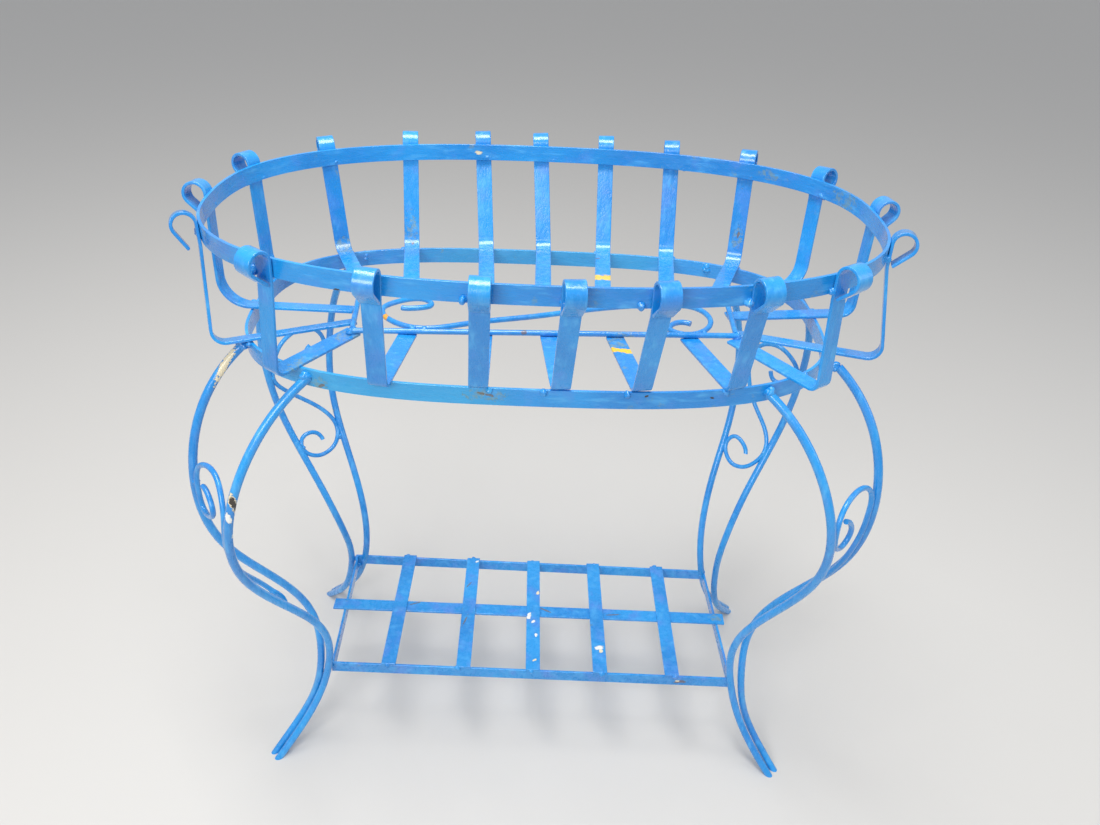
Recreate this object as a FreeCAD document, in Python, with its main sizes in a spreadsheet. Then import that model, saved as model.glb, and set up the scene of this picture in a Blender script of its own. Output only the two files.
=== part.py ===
import FreeCAD, Part
import math
import os

# Oval wrought-iron plant stand, all welded, nothing moves. Millimetres, +Z up, origin on the
# ground under the middle of the stand, X along the oval, -Y at the front.
V = FreeCAD.Vector
doc = FreeCAD.newDocument("PlantStand")
sheet = doc.addObject("Spreadsheet::Sheet", "Sizes")

SIZES = [
    ("bar_width", 19.0),        # 3/4 in flat bar: hoops, ribs and shelf slats
    ("bar_thick", 3.2),         # 1/8 in
    ("rail_height", 16.0),      # 5/8 in flat bar on edge: shelf rails and side bars
    ("leg_rod", 9.5),           # 3/8 in round rod
    ("thin_rod", 6.0),          # 1/4 in round rod: scrolls and floor frame
    ("rim_half_length", 350.0), ("rim_half_depth", 205.0), ("rim_power", 2.5),
    ("rim_top", 727.0), ("rim_x", 1.0), ("rim_y", 1.0),
    ("hoop_half_length", 313.0), ("hoop_half_depth", 171.0), ("hoop_power", 3.0),
    ("hoop_top", 604.0), ("hoop_x", -4.0), ("hoop_y", -2.0),
    ("curl_radius", 11.5), ("curl_rise", -1.0), ("curl_turn", 227.0), ("curl_tail", 20.5),
    ("frame_back", 34.0),
    ("rail_top", 125.0), ("leg_top", 595.0), ("pinch", 125.0), ("bulge_span", 470.0),
]
for row, (alias, value) in enumerate(SIZES, start=1):
    sheet.set("A%d" % row, alias)
    sheet.set("B%d" % row, str(value))
    sheet.setAlias("B%d" % row, alias)
doc.recompute()


def size(alias):
    return float(sheet.get(alias))


width, thick, rod, wire = (size(a) for a in ("bar_width", "bar_thick", "leg_rod", "thin_rod"))
nodes = []


def keep(obj, label):
    obj.Label = label
    nodes.append(obj)
    return obj


# ---------------------------------------------------------------- sketches and pads
def new_sketch(body, name, plane):
    sketch = body.newObject("Sketcher::SketchObject", name)
    origin = [f for f in body.Origin.OriginFeatures if f.Role == plane][0]
    sketch.AttachmentSupport = [(origin, "")]
    sketch.MapMode = "FlatFace"
    return sketch


def pad(body, sketch, alias, middle):
    feature = body.newObject("PartDesign::Pad", sketch.Name + "Pad")
    feature.Profile = sketch
    feature.setExpression("Length", "Sizes." + alias)
    feature.Midplane = middle
    body.Tip = feature


# ---------------------------------------------------------------- the two oval hoops
def oval(half_x, half_y, power, turn, out=0.0):
    """Point on a superellipse at parameter turn, moved outwards by out along its normal."""
    c, s = math.cos(turn), math.sin(turn)
    x = half_x * math.copysign(abs(c) ** (2.0 / power), c)
    y = half_y * math.copysign(abs(s) ** (2.0 / power), s)
    nx = math.copysign(abs(x / half_x) ** (power - 1) / half_x, x)
    ny = math.copysign(abs(y / half_y) ** (power - 1) / half_y, y)
    n = math.hypot(nx, ny)
    return V(x + out * nx / n, y + out * ny / n, 0)


def hoop(label, kind):
    half_x, half_y = size(kind + "_half_length"), size(kind + "_half_depth")
    body = doc.addObject("PartDesign::Body", label + "_body")
    sketch = new_sketch(body, label + "_ring", "XY_Plane")
    for out in (thick / 2, -thick / 2):
        curve = Part.BSplineCurve()
        steps = 48
        curve.interpolate([oval(half_x, half_y, size(kind + "_power"), 2 * math.pi * (k + 0.5) / steps, out)
                           for k in range(steps)], PeriodicFlag=True)
        sketch.addGeometry(curve, False)
    pad(body, sketch, "bar_width", False)
    body.Placement = FreeCAD.Placement(
        V(size(kind + "_x"), size(kind + "_y"), size(kind + "_top") - width), FreeCAD.Rotation())
    keep(body, label)


hoop("rim_hoop", "rim")
hoop("basket_hoop", "hoop")


def on_rim(x=None, y=None, side=1):
    """Point of the rim's outer face at a given x (front or back side) or y (left or right side)."""
    ax, ay, power = size("rim_half_length"), size("rim_half_depth"), size("rim_power")
    if x is not None:
        u = x - size("rim_x")
        y = side * ay * (1 - abs(u / ax) ** power) ** (1 / power)
    else:
        w = y - size("rim_y")
        u = side * ax * (1 - abs(w / ay) ** power) ** (1 / power)
        y = w
    nx = math.copysign(abs(u / ax) ** (power - 1) / ax, u)
    ny = math.copysign(abs(y / ay) ** (power - 1) / ay, y)
    n = math.hypot(nx, ny)
    return V(u + thick / 2 * nx / n + size("rim_x"), y + thick / 2 * ny / n + size("rim_y"), 0)


# ---------------------------------------------------------------- flat bar bent in one plane
def bent_bar(sketch, start, heading, path):
    """Outline of a flat bar on edge: straight lengths and (radius, turn) bends of its middle line."""
    left, right = [], []
    at, angle = V(*start), math.radians(heading)
    for leg in path:
        side = V(-math.sin(angle), math.cos(angle), 0) * (thick / 2)
        if isinstance(leg, tuple):
            radius, turn = leg[0], math.radians(leg[1])
            to_centre = V(-math.sin(angle), math.cos(angle), 0) * math.copysign(radius, turn)
            centre = at + to_centre

            def swung(p, part):
                d, a = p - centre, turn * part
                return centre + V(d.x * math.cos(a) - d.y * math.sin(a), d.x * math.sin(a) + d.y * math.cos(a), 0)

            for edge, offset in ((left, side), (right, side * -1)):
                edge.append([at + offset, swung(at + offset, 0.5), swung(at + offset, 1)])
            at, angle = swung(at, 1), angle + turn
        else:
            step = V(math.cos(angle), math.sin(angle), 0) * leg
            for edge, offset in ((left, side), (right, side * -1)):
                edge.append([at + offset, at + step + offset])
            at = at + step
    for edge in (left, right):
        for piece in edge:
            sketch.addGeometry(Part.LineSegment(*piece) if len(piece) == 2 else Part.Arc(*piece), False)
    sketch.addGeometry(Part.LineSegment(left[0][0], right[0][0]), False)
    sketch.addGeometry(Part.LineSegment(left[-1][-1], right[-1][-1]), False)


# Each rib: where it meets the rim (x on the front or back side, y on the ends), the outer corner
# of its bottom bend, the inner end of its floor strap, its bend radius and its curl's turn.
FRONT, BACK, LEFT, RIGHT = "front", "back", "left", "right"
turn_all = size("curl_turn")
RIBS = [
    ("rib_01", LEFT, -3, (-352, -18), (-206, -22), 30, turn_all),
    ("rib_02", LEFT, 92, (-331, 86), (-209, 30), 14, turn_all),
    ("rib_03", BACK, -262, (-254, 150), (-205, 32), 14, turn_all),
    ("rib_04", BACK, -169, (-170, 171), (-151, 32), 14, turn_all),
    ("rib_05", BACK, -80, (-75, 176), (-64, 32), 14, turn_all),
    ("rib_06", BACK, -8, (-1, 177), (1, 32), 14, turn_all),
    ("rib_07", BACK, 73, (76, 177), (70, 32), 14, turn_all),
    ("rib_08", BACK, 154, (157, 172), (144, 32), 14, turn_all),
    ("rib_09", BACK, 242, (242, 156), (198, 32), 14, turn_all),
    ("rib_10", RIGHT, 117, (314, 102), (213, 30), 24, turn_all),
    ("rib_11", RIGHT, 20, (353, 17), (208, -4), 12, turn_all),
    ("rib_12", LEFT, -82, (-334, -111), (-199, -50), 12, turn_all - 16),
    ("rib_13", FRONT, -247, (-258, -168), (-196, -72), 8, turn_all),
    ("rib_14", FRONT, -147, (-152, -184), (-139, -73), 8, turn_all),
    ("rib_15", FRONT, -52, (-57, -179), (-60, -71), 8, turn_all),
    ("rib_16", FRONT, 27, (22, -177), (9, -66), 8, turn_all),
    ("rib_17", FRONT, 105, (100, -174), (79, -64), 8, turn_all),
    ("rib_18", FRONT, 193, (192, -166), (158, -60), 8, turn_all),
    ("rib_19", FRONT, 272, (278, -160), (206, -60), 8, turn_all),
    ("rib_20", RIGHT, -68, (358, -90), (211, -46), 12, turn_all),
]


def rib(label, side, station, corner, inner, bend, turn):
    sign = 1 if side in (BACK, RIGHT) else -1
    touch = on_rim(x=station, side=sign) if side in (FRONT, BACK) else on_rim(y=station, side=sign)
    corner, inner = V(*corner, 0), V(*inner, 0)
    out = corner - inner
    length = out.Length
    out.normalize()
    run = (touch - corner).dot(out)
    sideways = (touch - corner).dot(V(-out.y, out.x, 0))
    rise = size("rim_top") - width / 2 - size("hoop_top")
    tilt = math.asin(sideways / rise)
    # middle line: along the floor, up with a lean to just under the rim, upright past it, curl, tail
    under_rim = (size("rim_top") - width - 6 - size("hoop_top")) / math.cos(tilt)
    lean = math.degrees(math.atan2(run + thick, under_rim))
    radius = bend + thick / 2
    cut_back = radius * math.tan(math.radians(90 - lean) / 2)
    ease = 30.0
    ease_half = ease * math.tan(math.radians(abs(lean)) / 2)
    slope = math.hypot(run + thick, under_rim - thick / 2) - cut_back - ease_half
    upright = size("rim_top") + size("curl_rise") - size("hoop_top") - under_rim - ease_half
    body = doc.addObject("PartDesign::Body", label + "_body")
    sketch = new_sketch(body, label + "_side", "XZ_Plane")
    corner_mid = thick / 2 * math.tan(math.radians(90 - lean) / 2)
    bent_bar(sketch, (-length, thick / 2, 0), 0,
             [length - corner_mid - cut_back, (radius, 90 - lean), slope, (ease, lean), upright,
              (size("curl_radius"), -turn), size("curl_tail")])
    pad(body, sketch, "bar_width", True)
    yaw = FreeCAD.Rotation(V(0, 0, 1), math.degrees(math.atan2(out.y, out.x)))
    roll = FreeCAD.Rotation(V(1, 0, 0), -math.degrees(tilt))
    body.Placement = FreeCAD.Placement(V(corner.x, corner.y, size("hoop_top")), yaw.multiply(roll))
    keep(body, label)


for spec in RIBS:
    rib(*spec)


# ---------------------------------------------------------------- round rods
def round_bar(label, alias, start, end):
    bar = doc.addObject("Part::Cylinder", label + "_bar")
    bar.setExpression("Radius", "Sizes.%s / 2" % alias)
    bar.Height = (end - start).Length
    bar.Placement = FreeCAD.Placement(start, FreeCAD.Rotation(V(0, 0, 1), end - start))
    keep(bar, label)


def smooth(points):
    curve = Part.BSplineCurve()
    curve.interpolate(points)
    return curve


def bent_rod(name, alias, curve):
    """Round rod swept along a smooth curve."""
    path = doc.addObject("Part::Feature", name + "_path")
    path.Shape = curve.toShape()
    ring = doc.addObject("Part::Circle", name + "_section")
    ring.setExpression("Radius", "Sizes.%s / 2" % alias)
    first = curve.FirstParameter
    ring.Placement = FreeCAD.Placement(curve.value(first), FreeCAD.Rotation(V(0, 0, 1), curve.tangent(first)[0]))
    sweep = doc.addObject("Part::Sweep", name + "_sweep")
    sweep.Sections = [ring]
    sweep.Spine = (path, ["Edge1"])
    sweep.Solid = True
    sweep.Frenet = False
    return sweep


# floor frame: four rods welded on top of the straps' inner ends
frame_z = size("hoop_top") + thick + wire / 2
back = size("frame_back")
FRAME = {"front": ((-198, -79), (210, -59)), "left": ((-197, -76), (-208, back - wire / 2)),
         "right": ((209, -56), (212, back - wire / 2)), "back": ((-211, back), (215, back))}
for name, (a, b) in FRAME.items():
    round_bar("floor_rod_" + name, "thin_rod", V(*a, frame_z), V(*b, frame_z))

SCROLL = [(163, -35), (143, -38), (139, -50), (154, -60), (173, -53), (185, -33), (184, -11),
          (171, 6), (148, 10), (106, 5), (51, -10), (-14, -33), (-79, -54), (-131, -68), (-154, -58), (-170, -40),
          (-173, -24), (-160, -7), (-130, 0), (-122, -12), (-136, -21), (-153, -22)]
keep(bent_rod("floor_scroll", "thin_rod", smooth([V(x, y, frame_z) for x, y in SCROLL])), "floor_scroll")

# ---------------------------------------------------------------- legs
# Each leg is a pair of rods. Stations down one rod for a leg at +X, +Y: height, x, y.
FRONT_ROD = [(-12, 336, 162), (0, 327, 156), (60, 285, 122), (125, 262, 106), (190, 256, 111), (270, 274, 141),
             (370, 303, 187), (470, 297, 207), (545, 269, 185), (595, 223, 150)]
END_ROD = [(-12, 339, 155), (0, 330, 147), (60, 290, 111), (125, 274, 102), (190, 277, 88), (270, 307, 102),
           (370, 356, 136), (470, 367, 139), (545, 350, 120), (595, 313, 92)]
# Hand bending: what is added to x at the foot, the pinch, the bulge and the top, and to y at the
# bulge and below the pinch.
LEG_RODS = {
    "leg_front_left_a": (-1, -1, FRONT_ROD, (4, 2, 11, 3), (9, 0)),
    "leg_front_left_b": (-1, -1, END_ROD, (8, 1, 2, -4), (0, 0)),
    "leg_front_right_a": (1, -1, FRONT_ROD, (0, 4, 8, 5), (-8, 2)),
    "leg_front_right_b": (1, -1, END_ROD, (5, 7, 5, 0), (-3, 2)),
    "leg_back_left_a": (-1, 1, FRONT_ROD, (-2, -6, -2, 1), (5, 3)),
    "leg_back_left_b": (-1, 1, END_ROD, (1, 2, 9, 8), (6, 3)),
    "leg_back_right_a": (1, 1, FRONT_ROD, (-9, -7, -23, -18), (-4, -6)),
    "leg_back_right_b": (1, 1, END_ROD, (-10, 2, -15, -10), (0, -6)),
}


def ramp(z, z0, z1):
    return min(1.0, max(0.0, (z - z0) / (z1 - z0)))


def rod_points(sx, sy, stations, x_add, y_add):
    pinch, span, top = size("pinch"), size("bulge_span"), size("leg_top")
    points = []
    for z, x, y in stations:
        bulge = math.sin(math.pi * ramp(z, pinch, pinch + span)) ** 2
        low = 1 - ramp(z, pinch, 330)
        x += x_add[0] * (1 - ramp(z, 0, pinch)) + x_add[1] * min(ramp(z, 0, pinch), low)
        x += x_add[2] * bulge + x_add[3] * ramp(z, 400, top)
        y += y_add[0] * bulge + y_add[1] * low
        points.append(V(sx * x, sy * y, z))
    return points


leg_curves = {}
for label, spec in LEG_RODS.items():
    leg_curves[label] = smooth(rod_points(*spec))
    sweep = bent_rod(label, "leg_rod", leg_curves[label])
    ground = doc.addObject("Part::Box", label + "_ground")
    ground.Length, ground.Width, ground.Height = 120, 120, 40
    foot = leg_curves[label].StartPoint
    ground.Placement = FreeCAD.Placement(V(foot.x - 60, foot.y - 60, -40), FreeCAD.Rotation())
    trimmed = doc.addObject("Part::Cut", label + "_cut")
    trimmed.Base, trimmed.Tool = sweep, ground
    keep(trimmed, label)


# ---------------------------------------------------------------- leg scrolls
def at_height(curve, z):
    low, high = curve.FirstParameter, curve.LastParameter
    for _ in range(40):
        mid = (low + high) / 2
        low, high = (mid, high) if curve.value(mid).z < z else (low, mid)
    return curve.value(low)


# Each scroll lies across its pair of rods: height, and share of the way from rod a to rod b.
LEG_SCROLLS = {
    "front_left": [(461, .72), (457, .55), (444, .45), (428, .60), (425, .84), (448, .90), (473, .88), (489, .66),
                   (488, .41), (476, .25), (458, .14), (430, .12), (395, .14), (355, .25), (322, .38), (294, .32)],
    "front_right": [(462, .31), (454, .42), (438, .47), (426, .36), (430, .16), (452, .10), (475, .22), (487, .46),
                    (485, .73), (470, .87), (446, .87), (416, .84), (385, .80), (345, .84), (315, .78), (288, .55)],
    "back_left": [(441, .31), (430, .36), (424, .22), (434, .10), (454, .15), (472, .42), (462, .68), (430, .88),
                  (405, .93), (385, .78), (365, .51), (346, .25), (320, .08), (303, .20), (295, .48), (296, .76),
                  (308, .94), (320, .86), (324, .70), (311, .46)],
    "back_right": [(438, .54), (426, .66), (431, .80), (450, .93), (470, .80), (480, .62), (474, .38), (445, .20),
                   (412, .22), (385, .39), (368, .60), (350, .82), (330, .93), (315, .86), (304, .68), (301, .40),
                   (310, .15), (324, .08), (334, .20), (332, .38), (319, .58)],
}
for leg, marks in LEG_SCROLLS.items():
    rods = [leg_curves["leg_%s_%s" % (leg, ab)] for ab in "ab"]
    points = []
    for z, share in marks:
        p, q = (at_height(curve, z) for curve in rods)
        points.append(p + (q - p) * share)
    keep(bent_rod("scroll_" + leg, "thin_rod", smooth(points)), "scroll_" + leg)


# ---------------------------------------------------------------- shelf
def flat_bar(label, start, end, tall, top):
    """Flat bar between two plan points: on edge when tall, otherwise lying flat, its top at top."""
    start, end = V(*start, 0), V(*end, 0)
    bar = doc.addObject("Part::Box", label + "_bar")
    bar.Length = (end - start).Length
    bar.setExpression("Width", "Sizes.bar_thick" if tall else "Sizes.bar_width")
    bar.setExpression("Height", "Sizes.rail_height" if tall else "Sizes.bar_thick")
    across, deep = (thick, size("rail_height")) if tall else (width, thick)
    turn = FreeCAD.Rotation(V(1, 0, 0), end - start)
    corner = turn.multVec(V(0, -across / 2, 0))
    bar.Placement = FreeCAD.Placement(start + corner + V(0, 0, top - deep), turn)
    keep(bar, label)


rail = size("rail_top")
front_left, front_right, back_left, back_right = (-262, -99), (269, -104), (-270, 109), (261, 100)
flat_bar("shelf_rail_front", front_left, front_right, True, rail)
flat_bar("shelf_rail_back", back_left, back_right, True, rail)
flat_bar("shelf_side_left", (-261, -97), (-268, 107), True, rail - thick)
flat_bar("shelf_side_right", (267, -102), (259, 98), True, rail - thick)
flat_bar("shelf_slat_long", (-281, 8), (274, 3), False, rail)
for number, (x_front, x_back) in enumerate(((-186, -187), (-87, -91), (5, 0), (94, 90), (189, 186)), start=1):
    y_front = -100 - 5 * (x_front + 262) / 531
    y_back = 110 - 9 * (x_back + 270) / 531
    flat_bar("shelf_slat_%d" % number, (x_front, y_front - 1), (x_back, y_back + 1), False, rail + thick)

# ---------------------------------------------------------------- check and export
doc.recompute()
for obj in doc.Objects:
    if "Invalid" in obj.State or "Error" in obj.State:
        raise SystemExit("failed object: %s %s" % (obj.Label, obj.State))
os.makedirs("parts", exist_ok=True)
for obj in nodes:
    shape = obj.Shape
    if shape.isNull() or not shape.isValid() or len(shape.Solids) != 1:
        raise SystemExit("bad shape: %s" % obj.Label)
    shape.exportStep("parts/%s.step" % obj.Label)
print(len(nodes), "parts")
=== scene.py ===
import math
import random

import bmesh
import bpy
from mathutils import Matrix, Vector, noise
from mathutils.bvhtree import BVHTree


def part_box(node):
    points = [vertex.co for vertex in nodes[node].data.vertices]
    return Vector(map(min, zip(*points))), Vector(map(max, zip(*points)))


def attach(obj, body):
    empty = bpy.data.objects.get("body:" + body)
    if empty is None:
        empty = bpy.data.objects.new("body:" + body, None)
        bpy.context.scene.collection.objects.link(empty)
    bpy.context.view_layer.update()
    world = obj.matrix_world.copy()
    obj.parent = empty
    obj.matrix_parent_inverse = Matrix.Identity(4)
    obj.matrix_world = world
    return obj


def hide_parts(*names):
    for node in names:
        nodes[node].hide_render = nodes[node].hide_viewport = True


# Looks for the oval wire plant stand: rounded bar edges, weld beads, flattened scroll tips and
# brush-painted blue iron with its chips, rust and marker bands. Metres, the CAD model's frame.
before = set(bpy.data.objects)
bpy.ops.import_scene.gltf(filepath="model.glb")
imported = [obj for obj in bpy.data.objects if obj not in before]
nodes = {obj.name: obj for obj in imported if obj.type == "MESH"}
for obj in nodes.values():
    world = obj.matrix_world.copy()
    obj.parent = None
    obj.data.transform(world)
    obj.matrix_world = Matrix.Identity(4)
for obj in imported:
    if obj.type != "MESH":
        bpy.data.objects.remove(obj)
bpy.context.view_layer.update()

BAR = 0.019                 # width of the flat bar
STRAP_TOP = 0.6072          # top face of the floor straps
SLAT_TOP = 0.1282           # top face of the shelf's cross slats
SLAT_UNDER = 0.1248         # height of the beads under the slats' ends
RIM_BEAD = 0.711            # height of the beads on the rim
HOOP_BEAD = 0.6025          # height of the beads on the lower hoop, under the straps
UP = (0, 0, 1)


# ---------------------------------------------------------------- camera and light
def make_camera():
    data = bpy.data.cameras.new("camera")
    data.sensor_width = 36.0
    data.lens = 28.8
    camera = bpy.data.objects.new("camera", data)
    yaw, pitch, roll = -0.0108, 0.5741, -0.0422
    forward = Vector((-math.sin(yaw) * math.cos(pitch), math.cos(yaw) * math.cos(pitch), -math.sin(pitch)))
    level = Vector((math.cos(yaw), math.sin(yaw), 0))
    down = forward.cross(level)
    right = math.cos(roll) * level + math.sin(roll) * down
    up = math.sin(roll) * level - math.cos(roll) * down
    turn = Matrix((right, up, -forward)).transposed().to_4x4()
    camera.matrix_world = Matrix.Translation((0.00477, -0.89421, 1.04451)) @ turn
    bpy.context.scene.collection.objects.link(camera)
    bpy.context.scene.camera = camera


def area_light(name, place, aim, width, height, power, colour):
    data = bpy.data.lights.new(name, "AREA")
    data.shape = "RECTANGLE"
    data.size, data.size_y = width, height
    data.energy = power
    data.color = colour
    lamp = bpy.data.objects.new(name, data)
    lamp.location = place
    lamp.rotation_euler = (Vector(aim) - Vector(place)).to_track_quat("-Z", "Y").to_euler()
    bpy.context.scene.collection.objects.link(lamp)


def make_studio():
    area_light("overhead", (-0.2, -0.15, 2.5), (0, 0, 0.4), 1.5, 0.6, 41, (1.0, 0.98, 0.95))
    area_light("front", (-0.9, -2.4, 1.9), (0, 0, 0.4), 1.4, 1.0, 38, (1.0, 0.98, 0.95))
    area_light("right", (2.4, -0.6, 1.6), (0, 0, 0.4), 1.2, 1.2, 8, (0.92, 0.96, 1.0))
    world = bpy.data.worlds.new("studio")
    bpy.context.scene.world = world
    world.use_nodes = True
    world.node_tree.nodes["Background"].inputs["Color"].default_value = (0.86, 0.88, 0.92, 1)
    world.node_tree.nodes["Background"].inputs["Strength"].default_value = 0.60
    bpy.context.scene.view_settings.view_transform = "Standard"


# ---------------------------------------------------------------- materials
class Graph:
    """A short way to write a node material."""

    def __init__(self, name):
        self.material = bpy.data.materials.new(name)
        self.material.use_nodes = True
        self.tree = self.material.node_tree
        self.shader = self.tree.nodes["Principled BSDF"]
        self.place = self.add("ShaderNodeTexCoord").outputs["Object"]

    def add(self, kind, **settings):
        node = self.tree.nodes.new(kind)
        for key, value in settings.items():
            setattr(node, key, value)
        return node

    def feed(self, socket, value):
        if isinstance(value, bpy.types.NodeSocket):
            self.tree.links.new(value, socket)
        elif isinstance(value, tuple) and len(value) == 3 and socket.type == "RGBA":
            socket.default_value = (*value, 1)
        else:
            socket.default_value = value

    def math(self, operation, a, b=0.0, clamp=False):
        node = self.add("ShaderNodeMath", operation=operation, use_clamp=clamp)
        self.feed(node.inputs[0], a)
        self.feed(node.inputs[1], b)
        return node.outputs[0]

    def mix(self, share, a, b):
        node = self.add("ShaderNodeMix", data_type="RGBA")
        self.feed(node.inputs["Factor"], share)
        self.feed(node.inputs[6], a)
        self.feed(node.inputs[7], b)
        return node.outputs[2]

    def ramp(self, value, low, high):
        """0 below low, 1 above high, or the other way round when low is the larger."""
        node = self.add("ShaderNodeMapRange", interpolation_type="SMOOTHSTEP")
        self.feed(node.inputs["Value"], value)
        self.feed(node.inputs["From Min"], low)
        self.feed(node.inputs["From Max"], high)
        return node.outputs["Result"]

    def stretch(self, factors):
        node = self.add("ShaderNodeVectorMath", operation="MULTIPLY")
        self.feed(node.inputs[0], self.place)
        node.inputs[1].default_value = factors
        return node.outputs[0]

    def noise(self, scale, detail=3.0, rough=0.5, place=None):
        node = self.add("ShaderNodeTexNoise")
        self.feed(node.inputs["Vector"], place or self.place)
        node.inputs["Scale"].default_value = scale
        node.inputs["Detail"].default_value = detail
        node.inputs["Roughness"].default_value = rough
        return node.outputs["Fac"]

    def offset(self, spot, along):
        """The way from spot to the shaded point, and how much of it lies along a direction."""
        away = self.add("ShaderNodeVectorMath", operation="SUBTRACT")
        self.feed(away.inputs[0], self.place)
        away.inputs[1].default_value = spot
        dot = self.add("ShaderNodeVectorMath", operation="DOT_PRODUCT")
        self.feed(dot.inputs[0], away.outputs[0])
        dot.inputs[1].default_value = Vector(along).normalized()
        return away.outputs[0], dot.outputs["Value"]

    def near(self, spot, reach, along=(0, 0, 1), across=None):
        """Below 1 inside an ellipsoid at spot: half length reach along a direction, half width across."""
        across = reach if across is None else across
        away, forth = self.offset(spot, along)
        length = self.add("ShaderNodeVectorMath", operation="LENGTH")
        self.feed(length.inputs[0], away)
        lengthwise = self.math("POWER", self.math("DIVIDE", forth, reach), 2)
        total = self.math("POWER", self.math("DIVIDE", length.outputs["Value"], across), 2)
        counted_twice = self.math("MULTIPLY", self.math("POWER", forth, 2), 1 / across ** 2)
        return self.math("SUBTRACT", self.math("ADD", lengthwise, total), counted_twice)

    def band(self, spot, along, half):
        """Below 1 in a band across a bar: within half of spot along a direction."""
        _, forth = self.offset(spot, along)
        return self.math("DIVIDE", self.math("ABSOLUTE", forth), half)


BLUE_DEEP = (0.008, 0.225, 0.63)
BLUE_MID = (0.014, 0.305, 0.75)
BLUE_PALE = (0.085, 0.440, 0.84)
VIOLET = (0.095, 0.245, 0.72)
TURQUOISE = (0.030, 0.400, 0.66)
CREAM = (0.80, 0.70, 0.48)
WHITE = (0.80, 0.82, 0.80)
YELLOW = (0.86, 0.55, 0.03)
ORANGE = (0.78, 0.36, 0.04)
RUST = (0.16, 0.10, 0.045)
OLIVE = (0.22, 0.30, 0.20)
IRON = (0.035, 0.025, 0.018)


def paint(name, chips=(), bands=(), turquoise=(), violet=0.35, grime=(0.45, 0.62), streak=(1, 1, 1)):
    """Hand-brushed gloss blue. chips are (colour, spot, half length, along, half width), bands are
    (colour, spot, along, half width), and turquoise is (spot, reach) of patches of a greener coat."""
    g = Graph(name)
    drift = g.noise(9.0, 2.0)
    cloud = g.noise(38.0, 3.0)
    brush = g.noise(95.0, 4.0, 0.62, g.stretch(streak))
    fine = g.noise(420.0, 3.0, 0.55, g.stretch(streak))
    colour = g.mix(g.ramp(drift, 0.35, 0.65), BLUE_MID, BLUE_DEEP)
    colour = g.mix(g.math("MULTIPLY", g.ramp(cloud, 0.48, 0.70), violet), colour, VIOLET)
    colour = g.mix(g.math("MULTIPLY", g.ramp(brush, 0.50, 0.72), 0.55), colour, BLUE_PALE)
    for spot, reach in turquoise:
        there = g.ramp(g.math("ADD", g.near(spot, reach), g.math("MULTIPLY", brush, 1.2)), 1.9, 1.0)
        colour = g.mix(g.math("MULTIPLY", there, 0.45), colour, TURQUOISE)
    stain = g.math("MULTIPLY", g.ramp(g.noise(60.0, 5.0, 0.7), 0.60, 0.74), g.ramp(drift, *grime))
    colour = g.mix(g.math("MULTIPLY", stain, 0.55), colour, OLIVE)
    speck = g.math("MULTIPLY", g.ramp(g.noise(210.0, 4.0, 0.7), 0.70, 0.74), g.ramp(drift, *grime))
    colour = g.mix(speck, colour, RUST)
    ragged = g.math("MULTIPLY", g.math("SUBTRACT", g.noise(260.0, 5.0, 0.75), 0.5), 5.0)
    patchy = g.ramp(g.noise(150.0, 4.0, 0.7), 0.42, 0.60)
    bare = speck
    for tint, spot, reach, along, across in chips:
        inside = g.ramp(g.math("ADD", g.near(spot, reach, along, across), ragged), 1.12, 0.92)
        if tint is OLIVE:
            share = g.math("MULTIPLY", g.math("MULTIPLY", inside, patchy), 0.55)
        else:
            share = g.math("MULTIPLY", inside, 0.75 if tint is RUST else 1.0)
        colour = g.mix(share, colour, tint)
        bare = g.math("MAXIMUM", bare, share)
    for tint, spot, along, half in bands:
        inside = g.ramp(g.math("ADD", g.band(spot, along, half), g.math("MULTIPLY", ragged, 0.5)), 1.1, 0.9)
        reach = g.ramp(g.near(spot, BAR), 1.4, 1.2)
        colour = g.mix(g.math("MULTIPLY", inside, reach), colour, tint)
    g.feed(g.shader.inputs["Base Color"], colour)
    roughness = g.math("ADD", 0.20, g.math("MULTIPLY", g.ramp(brush, 0.30, 0.75), 0.22))
    dull = g.math("MULTIPLY", bare, 0.35)
    g.feed(g.shader.inputs["Roughness"], g.math("ADD", roughness, dull, clamp=True))
    g.shader.inputs["Specular IOR Level"].default_value = 0.5
    g.shader.inputs["Coat Weight"].default_value = 0.60
    g.shader.inputs["Coat Roughness"].default_value = 0.14
    height = g.math("ADD", g.math("MULTIPLY", brush, 0.70), g.math("MULTIPLY", fine, 0.28))
    height = g.math("ADD", height, g.math("MULTIPLY", cloud, 0.5))
    height = g.math("SUBTRACT", height, g.math("MULTIPLY", bare, 0.35))
    bump = g.add("ShaderNodeBump")
    bump.inputs["Strength"].default_value = 0.85
    bump.inputs["Distance"].default_value = 0.0011
    g.feed(bump.inputs["Height"], height)
    g.feed(g.shader.inputs["Normal"], bump.outputs["Normal"])
    return g.material


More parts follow.
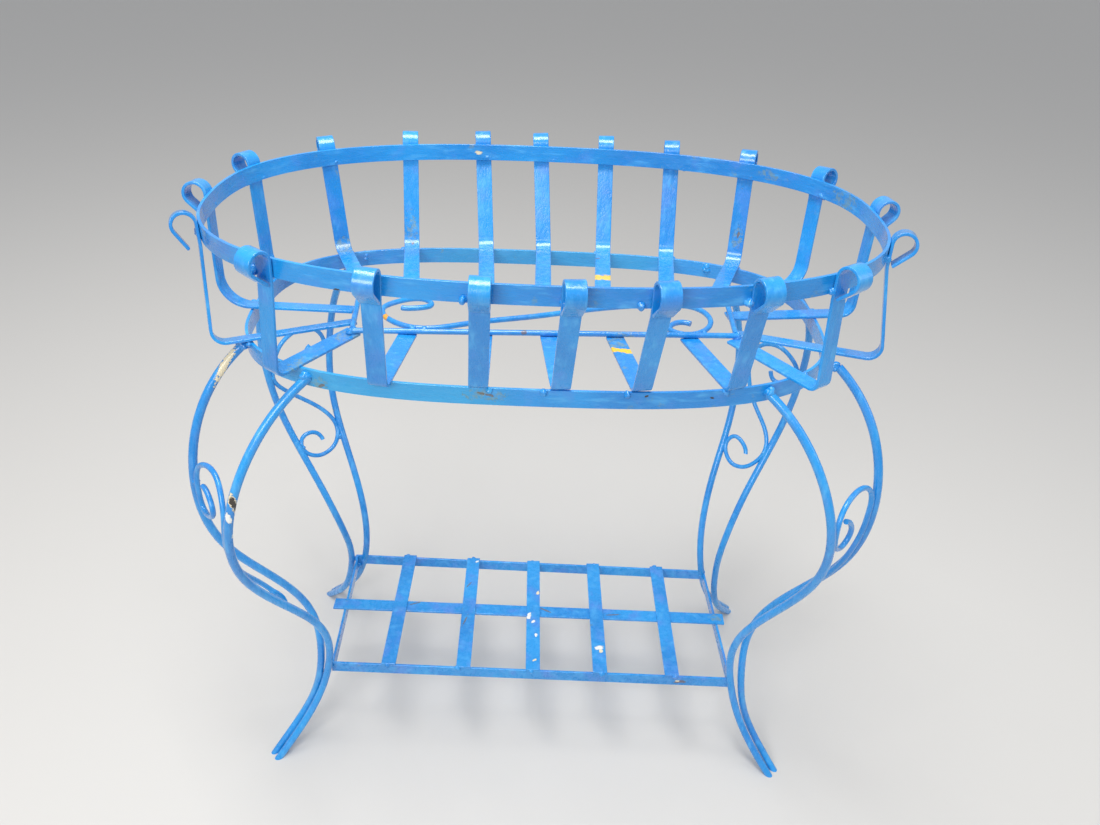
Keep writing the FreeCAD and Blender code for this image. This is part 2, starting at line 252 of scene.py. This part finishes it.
RIM_MARKS = [
    (CREAM, (-0.086, 0.200, 0.717), 0.005, (1, 0, 0), 0.003),
    (ORANGE, (-0.084, 0.200, 0.720), 0.002, (1, 0, 0), 0.0015),
    (OLIVE, (0.338, 0.075, 0.718), 0.022, (0.5, -0.85, 0), 0.010),
    (OLIVE, (0.269, 0.153, 0.718), 0.012, (0.9, -0.4, 0), 0.006),
    (IRON, (-0.181, -0.189, 0.708), 0.004, (1, 0, 0.2), 0.0015),
]
HOOP_MARKS = [
    (OLIVE, (-0.219, -0.154, 0.590), 0.014, (1, 0, 0.3), 0.008),
    (RUST, (-0.214, -0.156, 0.588), 0.006, (1, 0, 0.6), 0.0018),
    (OLIVE, (-0.052, -0.174, 0.596), 0.020, (1, 0, 0), 0.006),
    (RUST, (-0.050, -0.174, 0.597), 0.008, (1, 0, -0.2), 0.0014),
    (IRON, (0.105, -0.172, 0.600), 0.0018, (1, 0, 0.4), 0.0009),
    (IRON, (0.170, -0.164, 0.596), 0.0020, (1, 0, -0.3), 0.0009),
]
RIB_MARKS = [
    (OLIVE, (-0.250, 0.144, 0.609), 0.020, (-0.5, 1, 0.4), 0.009),
    (RUST, (-0.256, 0.152, 0.622), 0.006, UP, 0.0016),
    (OLIVE, (-0.171, 0.172, 0.628), 0.024, UP, 0.009),
    (RUST, (-0.168, 0.165, 0.609), 0.004, (0.5, 1, 0), 0.0016),
    (OLIVE, (0.242, 0.158, 0.637), 0.016, UP, 0.006),
    (RUST, (0.243, 0.158, 0.640), 0.005, UP, 0.0016),
    (OLIVE, (-0.232, -0.146, 0.607), 0.017, (0.5, 0.8, 0), 0.010),
    (OLIVE, (-0.200, -0.084, 0.607), 0.014, (0.5, 0.8, 0), 0.009),
    (RUST, (0.068, 0.144, 0.607), 0.004, (1, 0.3, 0), 0.0016),
    (OLIVE, (0.080, -0.080, 0.607), 0.014, (0.2, 1, 0), 0.010),
]
RIB_BANDS = [
    (YELLOW, (0.071, 0.086, STRAP_TOP), (0.05, 1, 0), 0.0070),
    (YELLOW, (0.084, -0.095, STRAP_TOP), (-0.19, -1, 0), 0.0042),
]
FLOOR_MARKS = [
    (ORANGE, (-0.167, -0.048, 0.612), 0.006, (0.3, 1, 0), 0.004),
    (RUST, (-0.017, -0.073, 0.612), 0.003, (1, 0, 0), 0.003),
    (OLIVE, (0.090, -0.066, 0.612), 0.014, (1, 0, 0), 0.006),
]
LEG_MARKS = [
    (CREAM, (-0.3225, -0.1050, 0.5850), 0.030, (0.42, 0.32, 0.80), 0.0042),
    (CREAM, (-0.3000, -0.2140, 0.4880), 0.034, (-0.17, -0.22, 1), 0.0040),
    (IRON, (-0.2995, -0.2145, 0.4880), 0.034, (-0.17, -0.22, 1), 0.0028),
    (WHITE, (-0.3050, -0.2160, 0.4660), 0.007, (0, 0, 1), 0.0028),
    (WHITE, (-0.3060, -0.2120, 0.4390), 0.004, (0, 0, 1), 0.002),
    (WHITE, (0.3060, -0.2180, 0.4300), 0.004, (0, 0, 1), 0.002),
]
SHELF_MARKS = [
    (WHITE, (-0.003, -0.008, SLAT_TOP), 0.006, (0.2, 1, 0), 0.0028),
    (WHITE, (0.003, -0.018, SLAT_TOP), 0.003, (1, 1, 0), 0.002),
    (CREAM, (0.008, 0.038, SLAT_TOP), 0.004, (0.2, 1, 0), 0.002),
    (WHITE, (0.0076, -0.043, SLAT_TOP), 0.003, (0, 1, 0), 0.0018),
    (CREAM, (0.007, -0.087, SLAT_TOP), 0.003, (1, 0.6, 0), 0.0018),
    (WHITE, (0.094, -0.062, SLAT_TOP), 0.006, (1, 0.2, 0), 0.0034),
    (CREAM, (0.096, -0.068, SLAT_TOP), 0.003, (1, 0.2, 0), 0.003),
    (WHITE, (-0.085, 0.100, SLAT_TOP), 0.003, (1, 1, 0), 0.002),
    (RUST, (-0.093, 0.050, SLAT_TOP), 0.006, (0.6, 1, 0), 0.0010),
    (RUST, (-0.092, -0.020, SLAT_TOP), 0.010, (0.3, 1, 0), 0.0011),
    (RUST, (-0.167, 0.012, 0.125), 0.008, (1, 0.4, 0), 0.0012),
    (RUST, (0.019, 0.008, 0.125), 0.010, (1, -0.5, 0), 0.0012),
    (RUST, (0.116, 0.003, 0.125), 0.009, (1, 0.1, 0), 0.0011),
    (OLIVE, (0.262, 0.004, 0.125), 0.010, (1, 0, 0), 0.006),
    (RUST, (0.201, -0.105, 0.116), 0.009, (1, 0, 0.1), 0.0025),
    (CREAM, (0.197, -0.105, 0.117), 0.003, (1, 0, 0), 0.0018),
]


# ---------------------------------------------------------------- shared mesh work
def new_piece(name, mesh, material, replaces=()):
    piece = bpy.data.objects.new(name, mesh)
    bpy.context.scene.collection.objects.link(piece)
    mesh.materials.clear()
    mesh.materials.append(material)
    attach(piece, "root")
    if replaces:
        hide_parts(*replaces)
    return piece


def smooth_mesh(name, work):
    for face in work.faces:
        face.smooth = True
    mesh = bpy.data.meshes.new(name)
    work.to_mesh(mesh)
    work.free()
    return mesh


def rounded(node, radius, material):
    """The flat bar of a CAD node with its long edges rounded, as rolled bar under thick paint."""
    work = bmesh.new()
    work.from_mesh(nodes[node].data)
    bmesh.ops.remove_doubles(work, verts=work.verts, dist=1e-5)
    bmesh.ops.dissolve_limit(work, angle_limit=math.radians(0.4), verts=work.verts, edges=work.edges)
    sharp = [e for e in work.edges if len(e.link_faces) == 2 and e.calc_face_angle() > math.radians(40)]
    bmesh.ops.bevel(work, geom=sharp, offset=radius, segments=3, profile=0.5, affect="EDGES",
                    clamp_overlap=True)
    name = node + "_bar"
    piece = new_piece(name, smooth_mesh(name, work), material, [node])
    weighted = piece.modifiers.new("weighted", "WEIGHTED_NORMAL")
    weighted.keep_sharp = False


def dress(node, material):
    data = nodes[node].data
    data.materials.clear()
    data.materials.append(material)


make_camera()
make_studio()

rim_paint = paint("rim_paint", RIM_MARKS, streak=(0.35, 0.35, 1.6))
hoop_paint = paint("hoop_paint", HOOP_MARKS, streak=(0.35, 0.35, 1.6),
                   turquoise=[((-0.15, -0.165, 0.593), 0.13), ((0.0, 0.17, 0.60), 0.16)])
rib_paint = paint("rib_paint", RIB_MARKS, RIB_BANDS, streak=(1.3, 1.3, 0.4))
floor_paint = paint("floor_paint", FLOOR_MARKS)
leg_paint = paint("leg_paint", LEG_MARKS, streak=(1.3, 1.3, 0.35), violet=0.2, grime=(0.62, 0.75))
shelf_paint = paint("shelf_paint", SHELF_MARKS, violet=0.55)

for node in sorted(nodes):
    if node == "rim_hoop":
        rounded(node, 0.0008, rim_paint)
    elif node == "basket_hoop":
        rounded(node, 0.0008, hoop_paint)
    elif node.startswith("rib_"):
        rounded(node, 0.0008, rib_paint)
    elif node.startswith("shelf_"):
        rounded(node, 0.0007, shelf_paint)
    elif node.startswith("floor_"):
        dress(node, floor_paint)
    else:
        dress(node, leg_paint)

# ---------------------------------------------------------------- weld beads
draw = random.Random(11)


def tree_of(node):
    work = bmesh.new()
    work.from_mesh(nodes[node].data)
    tree = BVHTree.FromBMesh(work)
    work.free()
    return tree


def touching(a, b, gap=0.0016, spread=0.016):
    """Middles of the places where node a's mesh comes within gap of node b's."""
    tree = trees[b]
    groups = []
    for vertex in nodes[a].data.vertices:
        place = tree.find_nearest(vertex.co, gap)[0]
        if place is None:
            continue
        for group in groups:
            if (group[0] - place).length < spread:
                group.append(place)
                break
        else:
            groups.append([place])
    return [sum(group, Vector()) / len(group) for group in groups]


def beside(ring, middle, step, height):
    """Point on a ring's outer face at a height, a step along it from the place nearest to middle."""
    low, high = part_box(ring)
    place = Vector((middle.x, middle.y, (low.z + high.z) / 2))
    normal = Vector((middle.x * 0.34, middle.y, 0)).normalized()
    for shift in (0, step):
        along = Vector((-normal.y, normal.x, 0))
        place, normal, _, _ = trees[ring].find_nearest(place + normal * 0.005 + along * shift)
    return Vector((place.x, place.y, height)) + normal * 0.001


def bead(work, centre, size):
    """One lumpy drop of weld metal."""
    grown = bmesh.ops.create_icosphere(work, subdivisions=4, radius=1.0)["verts"]
    shift = Vector((draw.uniform(0, 50), draw.uniform(0, 50), draw.uniform(0, 50)))
    for vertex in grown:
        lump = 1 + 0.40 * noise.noise(vertex.co * 0.9 + shift) + 0.10 * noise.noise(vertex.co * 2.6 + shift)
        vertex.co = vertex.co * size * lump + centre


def welds(name, material, places, size):
    work = bmesh.new()
    for place in places:
        bead(work, place, size * draw.uniform(0.85, 1.15))
    new_piece(name, smooth_mesh(name, work), material)


trees = {node: tree_of(node) for node in nodes}
ribs = sorted(n for n in nodes if n.startswith("rib_"))
leg_names = ["front_left", "front_right", "back_left", "back_right"]

rim_places = []
for rib in ribs:
    spots = touching("rim_hoop", rib)
    middle = sum(spots, Vector()) / len(spots)
    rim_places.append(beside("rim_hoop", middle, -(BAR / 2 + 0.0006), RIM_BEAD))
welds("welds_rim", rim_paint, rim_places, 0.0042)

strap_places = []
for rod in ("front", "back", "left", "right"):
    for rib in ribs:
        for place in touching("floor_rod_" + rod, rib):
            strap_places.append(place + Vector((0, 0, 0.0012)))
welds("welds_straps", floor_paint, strap_places, 0.0042)

scroll_places = [p for rod in ("front", "back")
                 for p in touching("floor_scroll", "floor_rod_" + rod, 0.003)]
scroll_places += [p for leg in leg_names for rod in "ab"
                  for p in touching("scroll_" + leg, "leg_%s_%s" % (leg, rod), 0.0022, 0.03)]
welds("welds_scrolls", leg_paint, scroll_places, 0.0036)

top_places = []
for leg in leg_names:
    for rod in "ab":
        name = "leg_%s_%s" % (leg, rod)
        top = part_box(name)[1].z - 0.006
        high = [v.co for v in nodes[name].data.vertices if v.co.z > top]
        end = sum(high, Vector()) / len(high)
        place, _, _, _ = trees["basket_hoop"].find_nearest(end)
        top_places += [end.lerp(place, 0.35), end.lerp(place, 0.85)]
welds("welds_leg_tops", leg_paint, top_places, 0.0056)

hoop_places = []
for rib in ribs:
    spots = touching("basket_hoop", rib)
    if spots:
        middle = sum(spots, Vector()) / len(spots)
        step = draw.choice((-1, 1)) * (BAR / 2 + 0.001)
        hoop_places.append(beside("basket_hoop", middle, step, HOOP_BEAD))
welds("welds_hoop", hoop_paint, hoop_places, 0.0034)

shelf_places = []
for number in range(1, 6):
    low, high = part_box("shelf_slat_%d" % number)
    for y in (low.y + 0.0008, high.y - 0.0008):
        x = (low.x + high.x) / 2 + draw.uniform(-0.006, 0.006)
        shelf_places.append(Vector((x, y, SLAT_UNDER)))
for rail in ("shelf_rail_front", "shelf_rail_back", "shelf_side_left", "shelf_side_right"):
    for leg in leg_names:
        for rod in "ab":
            shelf_places += touching("leg_%s_%s" % (leg, rod), rail, 0.0026, 0.03)
welds("welds_shelf", shelf_paint, shelf_places, 0.0038)


# ---------------------------------------------------------------- flattened scroll ends
ROD_END = 0.0030            # half width of the scroll rod where the hammering starts


def leaf_wide(t, half_width):
    """Half width of a hammered tip at share t of its length: out to its belly, then in to a point."""
    if t < 0.8:
        return ROD_END + (half_width - ROD_END) * math.sin(math.pi * min(1, t * 1.25)) ** 0.8
    return ROD_END * (1 - (t - 0.8) / 0.2) ** 0.7 + 0.0002


def leaf_thick(t):
    return ROD_END - 0.0019 * min(1, t * 2.2) if t < 0.97 else 0.0006


def leaf(name, scroll, length, half_width, material):
    """The hammered, pointed end of a leg scroll, drawn out of the rod's last stretch."""
    verts = [v.co.copy() for v in nodes[scroll].data.vertices]
    low = min(v.z for v in verts)
    end_ring = [v for v in verts if v.z < low + 0.005]
    tip = sum(end_ring, Vector()) / len(end_ring)
    before = [v for v in verts if 0.014 < (v - tip).length < 0.019 and v.z < low + 0.05]
    along = (tip - sum(before, Vector()) / len(before)).normalized()
    across = along.cross(Vector((-0.1, -0.8, 0.6))).normalized()
    out = across.cross(along)
    work = bmesh.new()
    rings = []
    steps, sides = 18, 16
    for i in range(steps + 1):
        t = i / steps
        middle = tip - along * 0.004 + along * length * t
        wide, thick = leaf_wide(t, half_width), leaf_thick(t)
        ring = []
        for k in range(sides):
            a = 2 * math.pi * k / sides
            wobble = 1 + 0.06 * noise.noise(Vector((k, i, 3)) * 0.4)
            sideways = across * math.cos(a) * wide * wobble
            ring.append(work.verts.new(middle + sideways + out * math.sin(a) * thick))
        rings.append(ring)
    for first, second in zip(rings, rings[1:]):
        for k in range(sides):
            after = (k + 1) % sides
            work.faces.new((first[k], first[after], second[after], second[k]))
    work.faces.new(rings[0][::-1])
    work.faces.new(rings[-1])
    bmesh.ops.recalc_face_normals(work, faces=work.faces)
    new_piece(name, smooth_mesh(name, work), material)


leaf("tip_front_left", "scroll_front_left", 0.030, 0.0052, leg_paint)
leaf("tip_front_right", "scroll_front_right", 0.020, 0.0046, leg_paint)

# ---------------------------------------------------------------- floor
floor_mesh = bpy.data.meshes.new("studio_floor")
half = 9.0
corners = [(x * half, y * half, 0) for x, y in ((-1, -1), (1, -1), (1, 1), (-1, 1))]
floor_mesh.from_pydata(corners, [], [(0, 1, 2, 3)])
floor = bpy.data.objects.new("studio_floor", floor_mesh)
bpy.context.scene.collection.objects.link(floor)
floor_look = Graph("floor_look")
floor_look.shader.inputs["Base Color"].default_value = (0.62, 0.61, 0.59, 1)
floor_look.shader.inputs["Roughness"].default_value = 0.9
floor_mesh.materials.append(floor_look.material)
